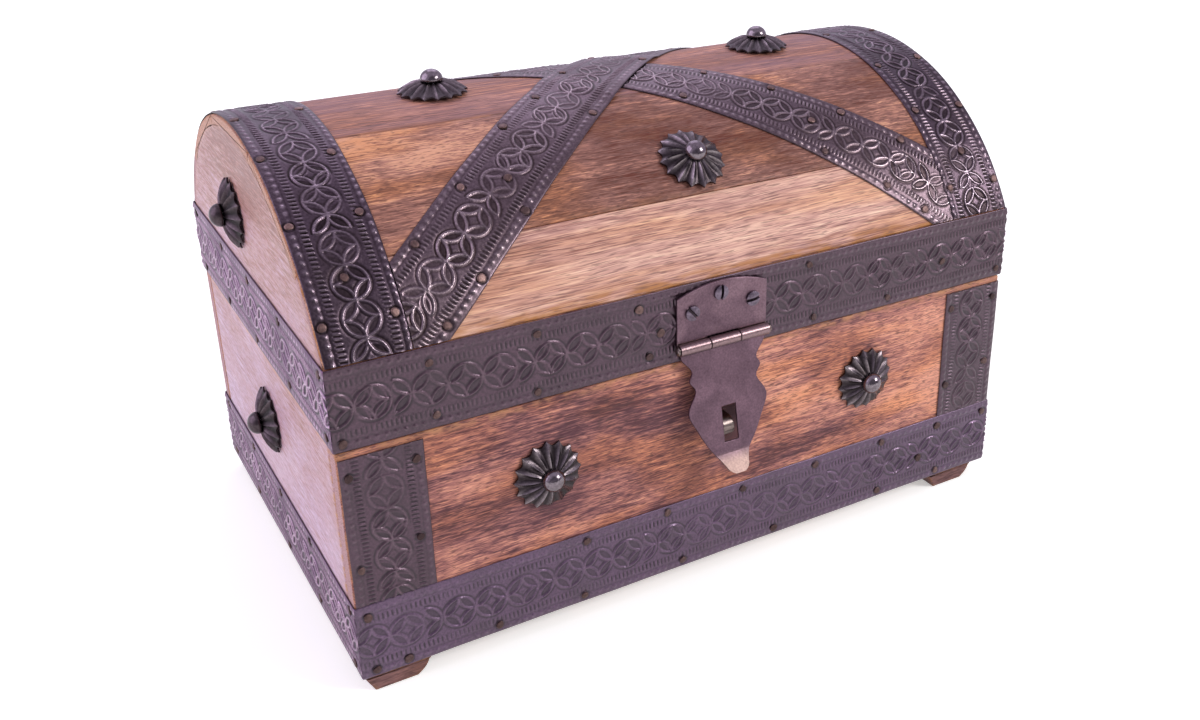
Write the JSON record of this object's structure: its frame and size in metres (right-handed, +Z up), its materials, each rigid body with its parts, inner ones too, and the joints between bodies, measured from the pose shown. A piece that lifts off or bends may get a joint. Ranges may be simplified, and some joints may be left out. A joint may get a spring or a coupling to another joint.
{
  "type": "treasure chest",
  "caption": "Small domed treasure chest of stained wood bound in stamped blackened iron strips, with a hinged lid, fluted nail rosettes and a front hasp that closes over a staple.",
  "frame": {"origin": "on the ground under the middle of the box round the whole closed chest", "axes": "+X along the length to the right, the front with the hasp faces -Y, +Z up"},
  "size_m": [0.3172, 0.2148, 0.2014],
  "materials": {
    "stained_wood": "dark brown stain, worn, satin",
    "pale_wood": "thin stain, satin",
    "worn_wood": "rubbed, matt",
    "blackened_iron": "stamped sheet, blackened, satin",
    "hasp_steel": "dull grey sheet",
    "nail_steel": "dark, polished on top"
  },
  "bodies": {
    "body": {"back_board": "stained_wood", "base_band": "blackened_iron", "corner_band_left": "blackened_iron", "corner_band_right": "blackened_iron", "floor_board": "stained_wood", "foot_back_left": "worn_wood", "foot_back_right": "worn_wood", "foot_front_left": "worn_wood", "foot_front_right": "worn_wood", "front_board": "stained_wood", "hasp_staple": "hasp_steel", "hinge_left_body_leaf": "hasp_steel", "hinge_left_pin": "nail_steel", "hinge_right_body_leaf": "hasp_steel", "hinge_right_pin": "nail_steel", "left_end_board": "pale_wood", "right_end_board": "pale_wood", "rosette_front_left_cup": "blackened_iron", "rosette_front_left_nail": "nail_steel", "rosette_front_right_cup": "blackened_iron", "rosette_front_right_nail": "nail_steel", "rosette_left_end_cup": "blackened_iron", "rosette_left_end_nail": "nail_steel", "rosette_right_end_cup": "blackened_iron", "rosette_right_end_nail": "nail_steel"},
    "lid": {"cross_strap_lower": "blackened_iron", "cross_strap_upper": "blackened_iron", "end_band_left": "blackened_iron", "end_band_right": "blackened_iron", "hasp_pin": "nail_steel", "hasp_plate": "hasp_steel", "hasp_screw_left": "nail_steel", "hasp_screw_right": "nail_steel", "hasp_screw_top": "nail_steel", "hinge_left_lid_leaf": "hasp_steel", "hinge_right_lid_leaf": "hasp_steel", "lid_back_rail": "stained_wood", "lid_front_rail": "stained_wood", "lid_left_end": "pale_wood", "lid_right_end": "pale_wood", "rim_band": "blackened_iron", "rosette_lid_back_cup": "blackened_iron", "rosette_lid_back_nail": "nail_steel", "rosette_lid_front_cup": "blackened_iron", "rosette_lid_front_nail": "nail_steel", "rosette_lid_left_end_cup": "blackened_iron", "rosette_lid_left_end_nail": "nail_steel", "rosette_lid_right_end_cup": "blackened_iron", "rosette_lid_right_end_nail": "nail_steel", "rosette_ridge_left_cup": "blackened_iron", "rosette_ridge_left_nail": "nail_steel", "rosette_ridge_right_cup": "blackened_iron", "rosette_ridge_right_nail": "nail_steel", "stave_back": "stained_wood", "stave_back_skirt": "stained_wood", "stave_front": "stained_wood", "stave_front_skirt": "stained_wood", "stave_ridge": "stained_wood"},
    "hasp": {"hasp_leaf": "hasp_steel"}
  },
  "joints": [
    {"name": "lid_hinge", "type": "hinge", "parent": "body", "child": "lid", "pos_m": [0, 0.10498, 0.10115], "axis": [-1, 0, 0], "range_deg": [0, 105]},
    {"name": "hasp_hinge", "type": "hinge", "parent": "lid", "child": "hasp", "pos_m": [0.0023, -0.09382, 0.1074], "axis": [-1, 0, 0], "range_deg": [-10.5, 165]}
  ]
}
